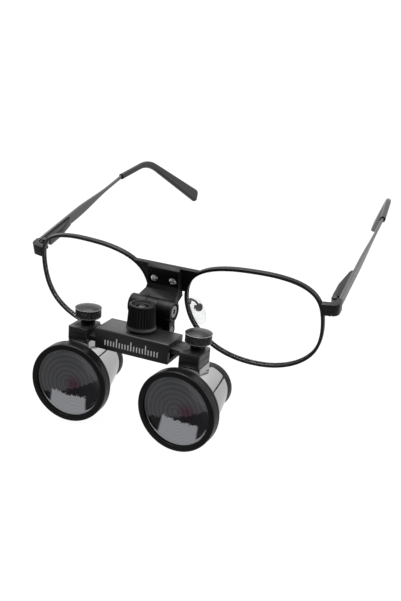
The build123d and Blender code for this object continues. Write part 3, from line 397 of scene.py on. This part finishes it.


def optical_glass(name):
    """Coated glass with a painted reflection: by mirrored direction it glows with a dim room above, a dark floor
    and a lit window low in front.

    The painted room and window are broken into arcs that stand for the stepped tube behind the glass.
    """
    g = Graph(bpy.data.materials.new(name))
    mirror = g.node("ShaderNodeTexCoord").outputs["Reflection"]
    across = g.dot(mirror, WINDOW_RIGHT)
    upward = g.dot(mirror, WINDOW_UP)
    reach = g.reach()
    # painted arcs that stand for the stepped tube's rings in the reflection
    fine_wave = g.math("SINE", g.product(reach, math.tau / FINE_ARC))
    wide_wave = g.math("SINE", g.product(reach, math.tau / WIDE_ARC))
    painted_fine_arcs = g.remap(fine_wave, -0.2, 0.6, 0.55, 1.0)
    painted_wide_arcs = g.remap(wide_wave, -1, 1, 0.72, 1.0)

    ragged = g.product(g.math("SUBTRACT", g.noise(1.1, 4, 0.7), 0.5), 0.12)
    top = g.math("ADD", upward, ragged)
    lean = g.math("ABSOLUTE", g.math("ADD", across, g.product(upward, WINDOW_LEAN)))
    beside = g.remap(lean, WINDOW_HALF, WINDOW_HALF + 0.02, 1, 0)
    below = g.remap(top, WINDOW_HIGH, WINDOW_HIGH + 0.01, 1, 0)
    above = g.remap(upward, WINDOW_LOW, WINDOW_LOW + 0.03, 0, 1)
    # mask of the painted window reflection
    painted_window = g.product(beside, below, above, painted_fine_arcs)
    slope = g.math("SUBTRACT", top, g.product(across, ROOM_SLOPE))
    painted_room = g.product(g.remap(slope, ROOM_LOW, ROOM_LOW + 0.02, 0.1, 1.0), painted_wide_arcs)

    from_spot = {0: g.math("SUBTRACT", across, PAINTED_BLUSH_AT[0]),
                 1: g.math("SUBTRACT", upward, PAINTED_BLUSH_AT[1]), 2: 0.0}
    from_spot = g.node("ShaderNodeCombineXYZ", from_spot).outputs[0]
    from_spot = g.node("ShaderNodeVectorMath", {0: from_spot}, operation="LENGTH")
    painted_blush = g.remap(from_spot.outputs["Value"], 0.03, 0.13, 0.75, 0.0)
    colour = g.mix(painted_blush, PAINTED_REFLECTION_COLOUR, PAINTED_BLUSH_COLOUR)
    strength = g.math("ADD", g.product(painted_window, PAINTED_WINDOW_GLOW), g.product(painted_room, PAINTED_ROOM_GLOW))
    behind = g.node("ShaderNodeNewGeometry").outputs["Backfacing"]
    strength = g.product(strength, g.math("SUBTRACT", 1.0, behind))
    # the painted reflection is an emission: the glass glows though it is no lamp
    lit = g.node("ShaderNodeEmission", {"Color": colour, "Strength": strength}).outputs[0]

    fresnel = g.node("ShaderNodeFresnel", {"IOR": 1.52}).outputs[0]
    share = g.math("MINIMUM", g.product(fresnel, 0.25), 0.9)
    through = g.node("ShaderNodeBsdfTransparent", {"Color": (0.42, 0.42, 0.43, 1)}).outputs[0]
    inputs = {"Color": (0.95, 0.9, 0.98, 1), "Roughness": 0.02}
    shine = g.node("ShaderNodeBsdfGlossy", inputs).outputs[0]
    mixed = g.node("ShaderNodeMixShader", {0: share, 1: through, 2: shine}).outputs[0]
    return g.finish(g.node("ShaderNodeAddShader", {0: mixed, 1: lit}).outputs[0])


def silicone(name):
    """Clear soft silicone: mostly see-through, with a milky body and a soft shine."""
    g = Graph(bpy.data.materials.new(name))
    facing = g.node("ShaderNodeLayerWeight", {"Blend": 0.35}).outputs["Facing"]
    cloud = g.remap(g.noise(2.5, 4), 0.3, 0.7, 0.06, 0.16)
    share = g.math("ADD", g.product(facing, 0.45), cloud)
    through = g.node("ShaderNodeBsdfTransparent", {"Color": grey(0.97)}).outputs[0]
    bump = g.node("ShaderNodeBump", {"Strength": 0.1, "Distance": 0.02 * MM,
                                     "Height": g.noise(0.3)}).outputs[0]
    inputs = {"Base Color": (0.75, 0.76, 0.77, 1), "Roughness": 0.18, "Normal": bump,
              "Subsurface Weight": 0.3, "Subsurface Radius": (0.002, 0.002, 0.002)}
    body = g.node("ShaderNodeBsdfPrincipled", inputs).outputs[0]
    mixed = g.node("ShaderNodeMixShader", {0: share, 1: through, 2: body}).outputs[0]
    return g.finish(mixed)


FINISH = {
    "frame_black": coated_metal("semi_gloss_enamel", grey(0.004), 0.3, specular=0.2, wear_and_highlight=0.2,
                                wear_and_highlight_colour=grey(0.12)),
    "bridge_black": coated_metal("satin_black_enamel", grey(0.003), 0.4, specular=0.15, wear_and_highlight=0.3,
                                 wear_and_highlight_colour=grey(0.1)),
    "temple_metal": coated_metal("temple_enamel", grey(0.09), 0.36, metallic=0.9, wear_and_highlight=0.15,
                                 stretch=(1, 0.08, 1)),
    "clear_lens": clear_glass("spectacle_glass", (0.97, 1.0, 0.99, 1), 0.35, limit=0.05,
                              body=0.992),
    "pad_silicone": silicone("pad_silicone_clear"),
    "ear_tip_black": coated_metal("ear_tip_acetate", grey(0.006), 0.3, specular=0.3, grain=0.05,
                                  wear_and_highlight=0.1),
    "plated_screw": coated_metal("nickel_plate", grey(0.9), 0.3, metallic=1.0, wear_and_highlight=0.2,
                                 wear_and_highlight_colour=grey(0.95)),
    "dull_screw": coated_metal("nickel_plate_worn", grey(0.25), 0.35, metallic=1.0, wear_and_highlight=0.4,
                               wear_and_highlight_colour=grey(0.6)),
    "dark_screw": coated_metal("black_oxide", grey(0.05), 0.35, metallic=0.8),
    "spring_steel": coated_metal("drawn_steel", grey(0.4), 0.3, metallic=1.0),
    "loupe_black": coated_metal("satin_anodised", grey(0.008), 0.36, specular=0.5, grain=0.3,
                                wear_and_highlight=0.35, wear_and_highlight_colour=grey(0.16)),
    # the knob's and thumb screw's ribs get pale crests: partly rubbing, partly a painted highlight
    "knob_black": coated_metal("knob_black_plastic", grey(0.002), 0.42, grain=0.2, wear_and_highlight=0.25,
                               wear_and_highlight_colour=grey(0.05), specular=0.15, ridges=(5.62, 5.8)),
    "thumb_black": coated_metal("knurled_anodised", grey(0.003), 0.3, grain=0.15, wear_and_highlight=0.35,
                                wear_and_highlight_colour=grey(0.2), specular=0.3, ridges=(5.13, 5.25)),
    "bezel_black": coated_metal("bezel_anodised", grey(0.003), 0.3, wear_and_highlight=0.3, grain=0.12,
                                specular=0.16, wear_and_highlight_colour=grey(0.14)),
    "black_chrome": coated_metal("black_chrome_mirror", grey(0.42), 0.08, metallic=1.0, grain=0.02,
                                 wear_and_highlight=0.1, blotch=0.05),
    "light_trap_black": coated_metal("light_trap_paint", grey(0.006), 0.36, grain=0.3, wear_and_highlight=0.5,
                                     wear_and_highlight_colour=grey(0.2)),
    "optical_glass": optical_glass("coated_optical_glass_painted_reflection"),
    "gear_brass": coated_metal("machined_brass", (0.62, 0.45, 0.16, 1), 0.28, metallic=1.0),
    "white_marks": coated_metal("engraving_paint", grey(0.75), 0.5, wear_and_highlight=0.0, grain=0.2),
}
OWN_FINISH = {       # nodes whose finish differs from their slot's
    "hinge_screws": FINISH["dark_screw"], "rim_lock_screws": FINISH["dark_screw"],
    "upper_hinge_screw": FINISH["dull_screw"], "lower_hinge_screw": FINISH["dull_screw"],
    "upper_hinge_nut": FINISH["dull_screw"],
}
for side in SIDES:
    OWN_FINISH[f"saddle_{side}"] = FINISH["black_chrome"]
    OWN_FINISH[f"clamp_dowels_{side}"] = FINISH["dark_screw"]
for node_name, node in NODES.items():
    node.data.materials.clear()
    node.data.materials.append(OWN_FINISH.get(node_name, FINISH[SLOT_OF[node_name]]))


def soften_edges(node_name, width_mm, segments=3):
    """Gives a CAD node's sharp edges a small real bevel."""
    node = NODES[node_name]
    node.data.shade_smooth()
    weld = node.modifiers.new("weld", "WELD")
    weld.merge_threshold = 1e-6
    flats = node.modifiers.new("flats", "DECIMATE")
    flats.decimate_type = "DISSOLVE"
    flats.angle_limit = math.radians(0.6)
    bevel = node.modifiers.new("bevel", "BEVEL")
    bevel.width = width_mm * MM
    bevel.segments = segments
    bevel.limit_method = "ANGLE"
    bevel.angle_limit = math.radians(35)
    bevel.use_clamp_overlap = True
    bevel.harden_normals = True


EDGE_WIDTH = 0.25
for node_name in ("mount_bracket", "bridge_plate", "link_arm", "crossbar_housing",
                  "crossbar_cover"):
    soften_edges(node_name, EDGE_WIDTH)
for side in SIDES:
    for stem in ("clamp_block", "slide_arm", "saddle", "end_piece", "spring_box"):
        soften_edges(f"{stem}_{side}", EDGE_WIDTH)


# ------------------------------------------------------------------ rims
RIM_WIRE = 1.3
RIM_DEPTH = 2.2
RIM_SECTION = rounded([
    (-RIM_WIRE / 2, -RIM_DEPTH / 2), (RIM_WIRE / 2, -RIM_DEPTH / 2),
    (RIM_WIRE / 2, RIM_DEPTH / 2), (-RIM_WIRE / 2, RIM_DEPTH / 2),
    (-RIM_WIRE / 2, 0.42, 0.05), (-RIM_WIRE / 2 + 0.4, 0.2, 0.1),
    (-RIM_WIRE / 2 + 0.4, -0.2, 0.1), (-RIM_WIRE / 2, -0.42, 0.05),
], 0.4)


OUTSIDE = 60          # rays start this far from a rim's middle
FIRST_REACH = 28.0    # about half a rim's width
LEAST_REACH = 15      # a nearer hit is not the outer wall


def rim_line(node_name, count=240, order=20):
    """The centre line of a rim's wire, smoothed from the CAD rim's outer wall."""
    mesh = NODES[node_name].data
    co = np.array([v.co for v in mesh.vertices]) / MM
    wall = BVHTree.FromPolygons([tuple(point) for point in co], [f.vertices for f in mesh.polygons])
    centre = (co.min(0) + co.max(0)) / 2
    powers = (0, 2, 4)
    bend = np.linalg.lstsq(np.stack([co[:, 0] ** k for k in powers], 1), co[:, 1], rcond=None)[0]

    def depth(x):
        return sum(value * x ** k for value, k in zip(bend, powers))

    turns = np.linspace(0, math.tau, count, endpoint=False)
    reaches = []
    for turn in turns:
        outward = Vector((math.cos(turn), 0, math.sin(turn)))
        reach = FIRST_REACH
        for _ in range(4):
            x = centre[0] + reach * outward.x
            start = Vector((centre[0], depth(x), centre[2])) + outward * OUTSIDE
            hit = wall.ray_cast(start, -outward)[0]
            if hit is not None and OUTSIDE - (hit - start).length > LEAST_REACH:
                reach = OUTSIDE - (hit - start).length
        reaches.append(reach)
    reaches = np.array(reaches)
    middle = np.median([np.roll(reaches, step) for step in range(-4, 5)], axis=0)
    reaches = np.where(abs(reaches - middle) > 0.5, middle, reaches)
    spectrum = np.fft.rfft(reaches)
    spectrum[order:] = 0
    reaches = np.fft.irfft(spectrum, count)
    line = [Vector((centre[0] + reach * math.cos(turn), 0, centre[2] + reach * math.sin(turn)))
            for turn, reach in zip(turns, reaches)]
    inner = []
    for index, here in enumerate(line):
        along = (line[(index + 1) % count] - line[index - 1]).normalized()
        inward = along.cross(Vector((0, 1, 0)))
        point = here + inward * RIM_WIRE / 2
        point.y = depth(point.x)
        inner.append(point)
    return inner


for side in SIDES:
    node_name = f"rim_{side}"
    line = rim_line(node_name)
    sections = [[(-across, height) for across, height in RIM_SECTION]] * len(line)
    add_piece(f"rim_wire_{side}", sweep(line, sections, Vector((0, 1, 0)), closed=True),
              SPECTACLES, FINISH["frame_black"], stands_for=(node_name,))

# ------------------------------------------------------------------ temples
TEMPLE_THICKNESS = 1.2
STRAP_END = 30.0          # the flat strap narrows from here
WIRE_START = 62.0         # to a wire here
WIRE_HALF = 0.95
TEMPLE_STEPS = 71
for side, sign in SIDES.items():
    low, high = box_mm(f"temple_{side}")
    outer, inner = max(abs(low.x), abs(high.x)), min(abs(low.x), abs(high.x))
    strap_half = (high.z - low.z) / 2
    middle_z = (high.z + low.z) / 2
    length = high.y - low.y
    toe_in = math.asin((outer - inner - TEMPLE_THICKNESS) / length)
    path = []
    sections = []
    for step in range(TEMPLE_STEPS + 1):
        share = step / TEMPLE_STEPS
        narrow = smoothstep(STRAP_END, WIRE_START, share * length)
        x = outer - TEMPLE_THICKNESS / 2 - math.sin(toe_in) * share * length
        path.append(Vector((sign * x, low.y + share * length, middle_z)))
        half = strap_half + (WIRE_HALF - strap_half) * narrow
        power = 5.5 - 3.0 * narrow              # a squarish strap to a rounder wire
        sections.append(oval(TEMPLE_THICKNESS / 2, half, power, 32))
    add_piece(f"temple_strap_{side}", sweep(path, sections, Vector((0, 0, 1))),
              SPECTACLES, FINISH["temple_metal"], stands_for=(f"temple_{side}",))

# ------------------------------------------------------------------ knob
KNOB_RIBS = 30
KNOB_HUB, KNOB_BASE, KNOB_TOP = 4.5, 5.1, 15.2     # above the crossbar's middle


def knob_ribs(turn, along, radius):
    """Rounded upright ribs round the knob's side."""
    if radius < 4.9 or not KNOB_BASE + 1.3 < along < KNOB_TOP - 0.5:
        return 0
    return -0.36 * (0.5 - 0.5 * math.cos(KNOB_RIBS * turn)) ** 0.7


knob_outline = rounded([
    (KNOB_HUB, 1.6, 0), (KNOB_HUB, 4.3, 0), (KNOB_BASE, 4.3, 0), (KNOB_BASE, 5.9),
    (KNOB_BASE + 0.8, 5.9), (KNOB_BASE + 1.2, 5.7, 0.1), (KNOB_BASE + 1.5, 5.68, 0),
    (KNOB_TOP - 0.9, 5.2, 0), (KNOB_TOP - 0.35, 5.15, 0.2), (KNOB_TOP, 4.7), (KNOB_TOP, 4.1, 0.2),
    (KNOB_TOP - 0.9, 3.4), (KNOB_TOP - 0.9, 2.4), (KNOB_TOP - 1.7, 2.3),
    (KNOB_TOP - 1.7, 0.9, 0.05), (11.2, 0.9, 0), (11.2, 1.6, 0),
], 0.25)
add_piece("adjusting_knob", lathe(knob_outline, KNOB_RIBS * 10, knob_ribs), KNOB,
          FINISH["knob_black"], stands_for=("pd_knob",))

# ------------------------------------------------------------------ thumb screws
KNURLS = 34
HEAD_RADIUS = 5.25


def knurl(turn, along, radius):
    """A diamond knurl on the thumb screw's band."""
    if radius < HEAD_RADIUS - 0.15:
        return 0
    fade = smoothstep(4.75, 5.1, along) * (1 - smoothstep(7.9, 8.15, along))
    lean = (along - 6.4) / 5.2
    first = abs(math.sin(KNURLS / 2 * (turn + lean)))
    second = abs(math.sin(KNURLS / 2 * (turn - lean)))
    return -0.42 * fade * (1 - min(first, second) ** 1.5)


band = [(4.8 + 3.4 * step / 28, HEAD_RADIUS) for step in range(29)]
thumb_outline = (
    [(-5.0, 0), (-5.0, 1.3), (-4.7, 1.5)]
    + rounded([(2.25, 1.5, 0), (2.25, 2.9), (3.9, 2.9), (4.15, 3.4), (4.55, 5.1)], 0.15)
    + band
    + [(8.28, 5.38), (8.32, 5.2), (8.55, 4.6), (8.8, 3.9), (9.03, 3.0), (9.2, 2.2), (9.3, 1.4),
       (9.36, 0.7), (9.4, 0)]
)
for side in SIDES:
    add_piece(f"knurled_thumb_screw_{side}", lathe(thumb_outline, KNURLS * 8, knurl), THUMB[side],
              FINISH["thumb_black"], stands_for=(f"thumb_screw_{side}",))

# ------------------------------------------------------------------ barrels
# outlines are (along, radius), from the barrel's front, with a corner's own size as a third
BEZEL_RADIUS, BEZEL_LENGTH, BARREL_LENGTH = 16.15, 5.2, 31.0
bezel_outline = rounded([
    (0.45, BEZEL_RADIUS, 0.3), (3.7, BEZEL_RADIUS, 0.05), (3.85, 15.95, 0.05),
    (4.0, BEZEL_RADIUS, 0.05), (BEZEL_LENGTH, BEZEL_RADIUS, 0.3), (BEZEL_LENGTH, 14.8, 0),
    (1.6, 14.8, 0), (1.6, 13.8, 0.05), (0.35, 13.8, 0.1), (0, 14.1, 0.1), (0, 15.7, 0.15),
], 0.15)
shell_outline = rounded([
    (1.6, 14.8, 0), (BEZEL_LENGTH, 14.8, 0), (BEZEL_LENGTH, 14.7, 0), (8.5, 14.0, 2.0),
    (27.2, 9.5, 0.1), (27.2, 8.9, 0), (29.0, 8.9, 0), (29.0, 8.0, 0), (26.6, 8.0, 0),
    (26.6, 8.3, 0), (8.2, 12.4, 0), (5.2, 12.4, 0), (5.2, 14.0, 0), (1.6, 14.0, 0),
], 0.1, steps=10)
ring_outline = rounded([
    (27.25, 8.9, 0), (27.25, 9.6, 0.15), (28.0, 9.6, 0.05), (28.15, 9.45, 0.05),
    (28.3, 9.6, 0.05), (BARREL_LENGTH, 9.6, 0.6), (BARREL_LENGTH, 7.9, 0.2), (29.8, 7.1, 0.1),
    (29.45, 7.1, 0), (29.45, 8.9, 0),
], 0.1)
TRAP_STEPS = 14
TRAP_FRONT, TRAP_BACK = 6.1, 25.6
trap_outline = []
for step in range(TRAP_STEPS):
    step_length = (TRAP_BACK - TRAP_FRONT) / TRAP_STEPS
    at = TRAP_FRONT + step * step_length
    wall = 12.2 - max(at - 8.2, 0) * 0.215      # the tube's outside, narrowing to the rear
    crest = wall - 1.15
    trap_outline += [(at, wall - 0.5), (at + step_length * 0.9, crest), (at + step_length, crest)]
trap_outline += [(TRAP_BACK, 8.4), (8.2, 12.2), (5.8, 12.2), (5.8, 11.7)]
objective_outline = (
    arc_profile(0.35, 1.6, 13.6)[::-1] + [(1.6, 14.0), (5.2, 14.0)] + arc_profile(6.2, 5.2, 12.2)
)
eyepiece_outline = (
    arc_profile(27.6, 26.8, 7.4)[::-1] + [(26.8, 7.95), (29.4, 7.95)] + arc_profile(28.6, 29.4, 7.4)
)
TURNED = {
    "bezel": ("front_bezel", bezel_outline),
    "barrel_shell": ("barrel_body", shell_outline),
    "eyepiece_ring": ("rear_ring", ring_outline),
    "light_trap": ("baffle_tube", trap_outline),
    "objective_lens": ("front_lens", objective_outline),
    "eyepiece_lens": ("rear_lens", eyepiece_outline),
}
for side in SIDES:
    for stem, (name, outline) in TURNED.items():
        node_name = f"{stem}_{side}"
        add_piece(f"{name}_{side}", lathe(outline, 192), BARREL[side],
                  FINISH[SLOT_OF[node_name]], stands_for=(node_name,), sharp=25)


# ------------------------------------------------------------------ screws
def screw_head(radius, height):
    """A domed screw head with a cross recess, its underside at 0 and its top at height."""
    rings, segments = 22, 96
    points = []
    faces = []
    for ring in range(rings + 1):
        share = ring / rings
        for segment in range(segments):
            turn = math.tau * segment / segments
            x, y = radius * share * math.cos(turn), radius * share * math.sin(turn)
            top = height * (1 - 0.35 * share ** 3)
            across, along = sorted((abs(x), abs(y)))
            if across < 0.16 * radius and along < 0.62 * radius:
                top -= 0.5 * height * (1 - 0.6 * along / radius)
            points.append((x, y, top))
    for segment in range(segments):
        turn = math.tau * segment / segments
        points.append((radius * math.cos(turn), radius * math.sin(turn), 0))
    for ring in range(rings + 1):
        for segment in range(segments):
            following = (segment + 1) % segments
            here, there = ring * segments, (ring + 1) * segments
            faces.append((here + segment, here + following, there + following, there + segment))
    last = (rings + 1) * segments
    faces.append(tuple(range(last, last + segments)))
    return points, faces


def joined(shapes):
    """Several (points, faces, place) as one shape in the placed frame."""
    points = []
    faces = []
    for shape_points, shape_faces, place in shapes:
        start = len(points)
        points += [place @ Vector(point) for point in shape_points]
        faces += [tuple(start + index for index in face) for face in shape_faces]
    return points, faces


HEAD_HEIGHT = 1.2
SHANK_RADIUS = 0.88
low, high = box_mm("bracket_screws")
head_radius = (high.z - low.z) / 2
screw_x = high.x - head_radius
screw_z = (high.z + low.z) / 2
shank_end = -(high.y - low.y - HEAD_HEIGHT)
shank = [(shank_end, 0), (shank_end, SHANK_RADIUS), (0.2, SHANK_RADIUS), (0.2, 0)]
facing = placing((0, 0, 0), (1, 0, 0), (0, 0, 1)) @ Matrix.Scale(1 / MM, 4)
heads = []
for sign, cross_turn in ((-1, 0.5), (1, 0.95)):
    place = Matrix.Translation((sign * screw_x, low.y + HEAD_HEIGHT, screw_z)) @ facing
    place = place @ Matrix.Rotation(cross_turn, 4, "Z")
    heads.append((*screw_head(head_radius, HEAD_HEIGHT), place))
    heads.append((*lathe(shank, 24), place))
add_piece("bracket_screw_heads", joined(heads), SPECTACLES, FINISH["plated_screw"],
          stands_for=("bracket_screws",), sharp=50)

# ------------------------------------------------------------------ scale marks on the crossbar
BAR_FRONT = -6.5          # the crossbar's front face, from its middle
TICKS, TICK_STEP, TICK_HALF = 19, 1.25, 0.22
TICK_BOTTOM, TICK_HEIGHT, LONG_TICK_HEIGHT = -1.9, 2.1, 3.6
BLOCK_FACES = [(0, 1, 2, 3), (7, 6, 5, 4)]
BLOCK_FACES += [(k, (k + 1) % 4, (k + 1) % 4 + 4, k + 4) for k in range(4)]
marks = []
for tick in range(TICKS):
    offset = tick - TICKS // 2
    top = TICK_BOTTOM + (LONG_TICK_HEIGHT if offset % 5 == 0 else TICK_HEIGHT)
    left, right = offset * TICK_STEP - TICK_HALF, offset * TICK_STEP + TICK_HALF
    corners = [(left, TICK_BOTTOM), (right, TICK_BOTTOM), (right, top), (left, top)]
    front = [(x, BAR_FRONT - 0.03, z) for x, z in corners]
    rear = [(x, BAR_FRONT + 0.05, z) for x, z in corners]
    marks.append((front + rear, BLOCK_FACES, Matrix.Identity(4)))
add_piece("scale_marks", joined(marks), BAR, FINISH["white_marks"], body="crossbar")


# ------------------------------------------------------------------ floor, light and camera
FLOOR_HALF = 3.0      # metres


def studio_floor(height):
    """A plain pale floor, which mirrors look brighter towards the rear."""
    g = Graph(bpy.data.materials.new("studio_paper"))
    tone = g.remap(g.noise(40, 3), 0.3, 0.7, 0.94, 0.97)
    colour = g.node("ShaderNodeCombineColor", {0: tone, 1: tone, 2: tone}).outputs[0]
    shaded = g.node("ShaderNodeBsdfDiffuse", {"Color": colour}).outputs[0]
    lit = g.node("ShaderNodeEmission", {"Color": colour, "Strength": 1.1}).outputs[0]
    seen = g.node("ShaderNodeMixShader", {0: 0.93, 1: shaded, 2: lit}).outputs[0]
    place = g.node("ShaderNodeSeparateXYZ", {0: g.place}).outputs["Y"]
    glow = g.remap(place, -0.2, 0.2, 0.5, 1.3)
    mirrored = g.node("ShaderNodeEmission", {"Color": colour, "Strength": glow}).outputs[0]
    camera_ray = g.node("ShaderNodeLightPath").outputs["Is Camera Ray"]
    paper = g.node("ShaderNodeMixShader", {0: camera_ray, 1: mirrored, 2: seen}).outputs[0]
    mesh = bpy.data.meshes.new("studio_floor")
    corners = [(-1, -1), (1, -1), (1, 1), (-1, 1)]
    mesh.from_pydata([(x * FLOOR_HALF, y * FLOOR_HALF, height) for x, y in corners], [],
                     [(0, 1, 2, 3)])
    mesh.materials.append(g.finish(paper))
    floor = bpy.data.objects.new("studio_floor", mesh)
    bpy.context.scene.collection.objects.link(floor)


def soft_light(name, place, aim, size, power):
    """A square soft light aimed at a point."""
    light = bpy.data.lights.new(name, "AREA")
    light.shape = "SQUARE"
    light.size = size
    light.energy = power
    lamp = bpy.data.objects.new(name, light)
    lamp.location = place
    lamp.rotation_mode = "QUATERNION"
    lamp.rotation_quaternion = (Vector(aim) - Vector(place)).to_track_quat("-Z", "Y")
    bpy.context.scene.collection.objects.link(lamp)


def studio_world():
    """A pale studio: bright above and behind, dimmer on the camera's side."""
    world = bpy.data.worlds.new("studio")
    bpy.context.scene.world = world
    g = Graph(world, "ShaderNodeOutputWorld")
    place = g.node("ShaderNodeTexCoord").outputs["Generated"]
    place = g.node("ShaderNodeSeparateXYZ", {0: place})
    upper = g.remap(place.outputs["Z"], -0.1, 0.9, 0.7, 1.0)
    rear = g.remap(place.outputs["Y"], -0.8, 0.6, 0.12, 2.2)
    sky = g.node("ShaderNodeBackground", {"Strength": g.product(upper, rear)}).outputs[0]
    plain = g.node("ShaderNodeBackground", {"Color": grey(1.0), "Strength": 1.0}).outputs[0]
    camera_ray = g.node("ShaderNodeLightPath").outputs["Is Camera Ray"]
    g.finish(g.node("ShaderNodeMixShader", {0: camera_ray, 1: sky, 2: plain}).outputs[0])


def photo_camera(aim, azimuth, elevation, roll, distance, lens):
    """The camera, aimed at a point from an azimuth and elevation in degrees."""
    a, e = math.radians(azimuth), math.radians(elevation)
    back = Vector((math.sin(a) * math.cos(e), -math.cos(a) * math.cos(e), math.sin(e)))
    data = bpy.data.cameras.new("camera")
    data.lens = lens
    data.clip_start = 0.01
    camera = bpy.data.objects.new("camera", data)
    camera.location = aim + back * distance
    camera.rotation_mode = "QUATERNION"
    camera.rotation_quaternion = (-back).to_track_quat("-Z", "Y")
    camera.rotation_quaternion @= Matrix.Rotation(math.radians(roll), 4, "Z").to_quaternion()
    bpy.context.scene.collection.objects.link(camera)
    bpy.context.scene.camera = camera


studio_floor(cad_box[0].z)
studio_world()
soft_light("overhead", BRIDGE + Vector((-0.15, 0.2, 0.6)), BRIDGE, size=0.5, power=5)
soft_light("right_fill", BRIDGE + Vector((0.6, 0.1, 0.35)), BRIDGE, size=0.4, power=3)
photo_camera(BRIDGE + Vector((12.6, 2.1, -7.5)) * MM, azimuth=24.84, elevation=33.19, roll=-2.1,
             distance=0.345, lens=50.2)
bpy.context.scene.view_settings.view_transform = "Standard"
